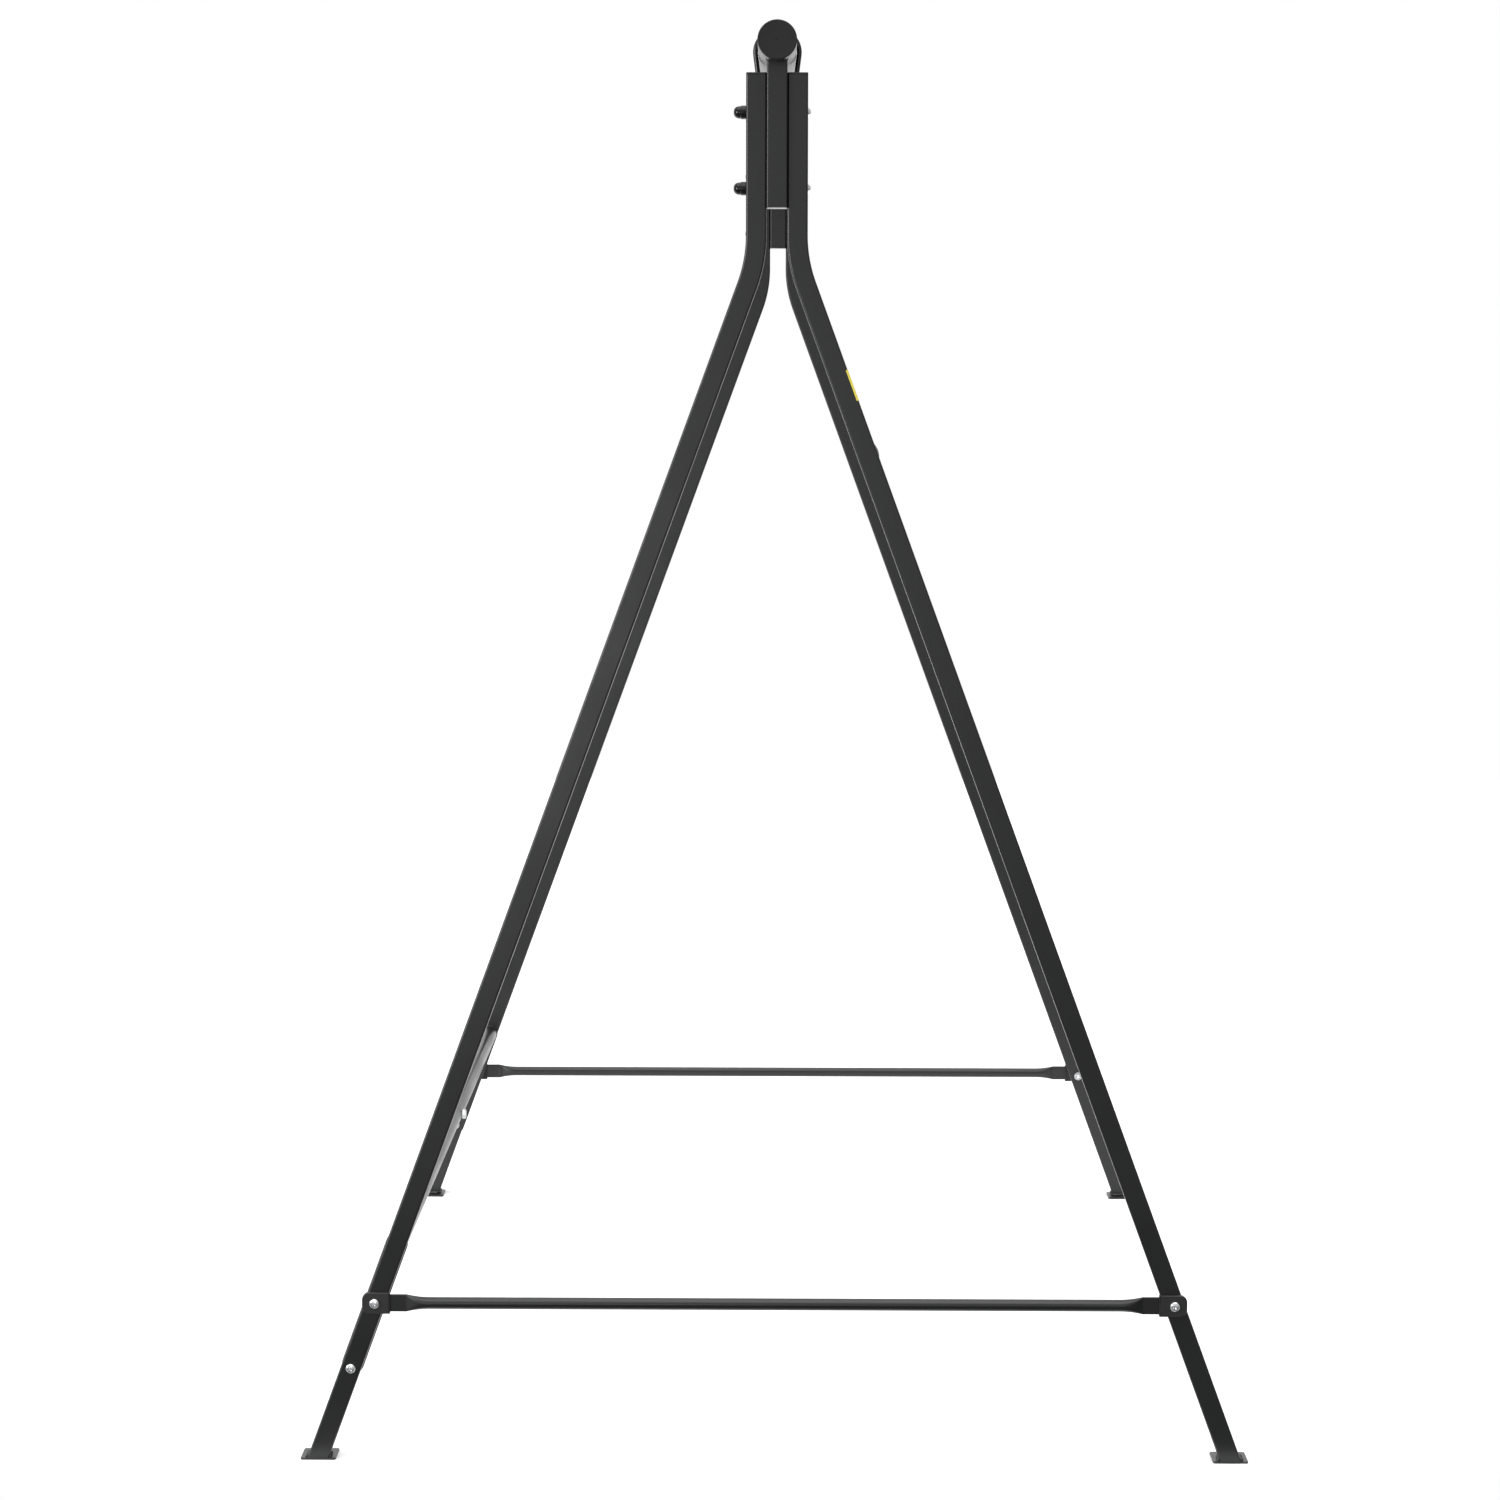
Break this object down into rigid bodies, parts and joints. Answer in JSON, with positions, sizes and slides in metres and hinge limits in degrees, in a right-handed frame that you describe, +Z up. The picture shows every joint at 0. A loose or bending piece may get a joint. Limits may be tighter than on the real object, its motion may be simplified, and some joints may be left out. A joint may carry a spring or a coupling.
{
  "type": "swing stand",
  "caption": "Free-standing steel A-frame stand with a round top beam and two rod hanger loops, for hanging a swing seat or chair.",
  "frame": {"origin": "on the ground, under the middle of the top beam", "axes": "+Z up, +Y along the top beam, +X across the A-frames, away from the low bar"},
  "size_m": [1.1956, 1.611, 1.8028],
  "materials": {
    "powder_coat": "satin black powder coat",
    "hanger_rod": "satin black powder coat",
    "black_plastic": "fine-grained moulded black",
    "zinc_bolt": "bright zinc plate",
    "zinc_nut": "bright zinc plate",
    "label": "plain yellow vinyl"
  },
  "bodies": {
    "stand": {"beam_cap_front": "black_plastic", "beam_cap_rear": "black_plastic", "beam_end_front": "powder_coat", "beam_end_rear": "powder_coat", "beam_joint_screws": "zinc_nut", "beam_middle": "powder_coat", "crossbar_bolts": "zinc_bolt", "crossbar_front": "powder_coat", "crossbar_nuts": "zinc_nut", "crossbar_rear": "powder_coat", "crossbar_sleeves": "black_plastic", "crossbar_washers": "zinc_nut", "foot_plate_front_left": "powder_coat", "foot_plate_front_right": "powder_coat", "foot_plate_rear_left": "powder_coat", "foot_plate_rear_right": "powder_coat", "leg_front_left": "powder_coat", "leg_front_right": "powder_coat", "leg_label": "label", "leg_rear_left": "powder_coat", "leg_rear_right": "powder_coat", "leg_side_plug": "black_plastic", "leg_top_plugs": "black_plastic", "low_bar_front": "powder_coat", "low_bar_joint_bolt": "zinc_bolt", "low_bar_joint_nut": "zinc_nut", "low_bar_plate_front": "powder_coat", "low_bar_plate_rear": "powder_coat", "low_bar_rear": "powder_coat", "lower_bolts": "zinc_bolt", "lower_nuts": "zinc_nut", "lower_washers": "zinc_nut", "nut_caps": "black_plastic", "post_plugs": "black_plastic", "through_bolts": "zinc_bolt", "through_nuts": "zinc_nut"},
    "hanger_front": {"hanger_loop_front": "hanger_rod"},
    "hanger_rear": {"hanger_loop_rear": "hanger_rod"}
  },
  "joints": [
    {"name": "hanger_front_swing", "type": "hinge", "parent": "stand", "child": "hanger_front", "pos_m": [0, -0.621, 1.772], "axis": [0, 1, 0], "continuous": true},
    {"name": "hanger_rear_swing", "type": "hinge", "parent": "stand", "child": "hanger_rear", "pos_m": [0, 0.621, 1.772], "axis": [0, 1, 0], "continuous": true}
  ]
}
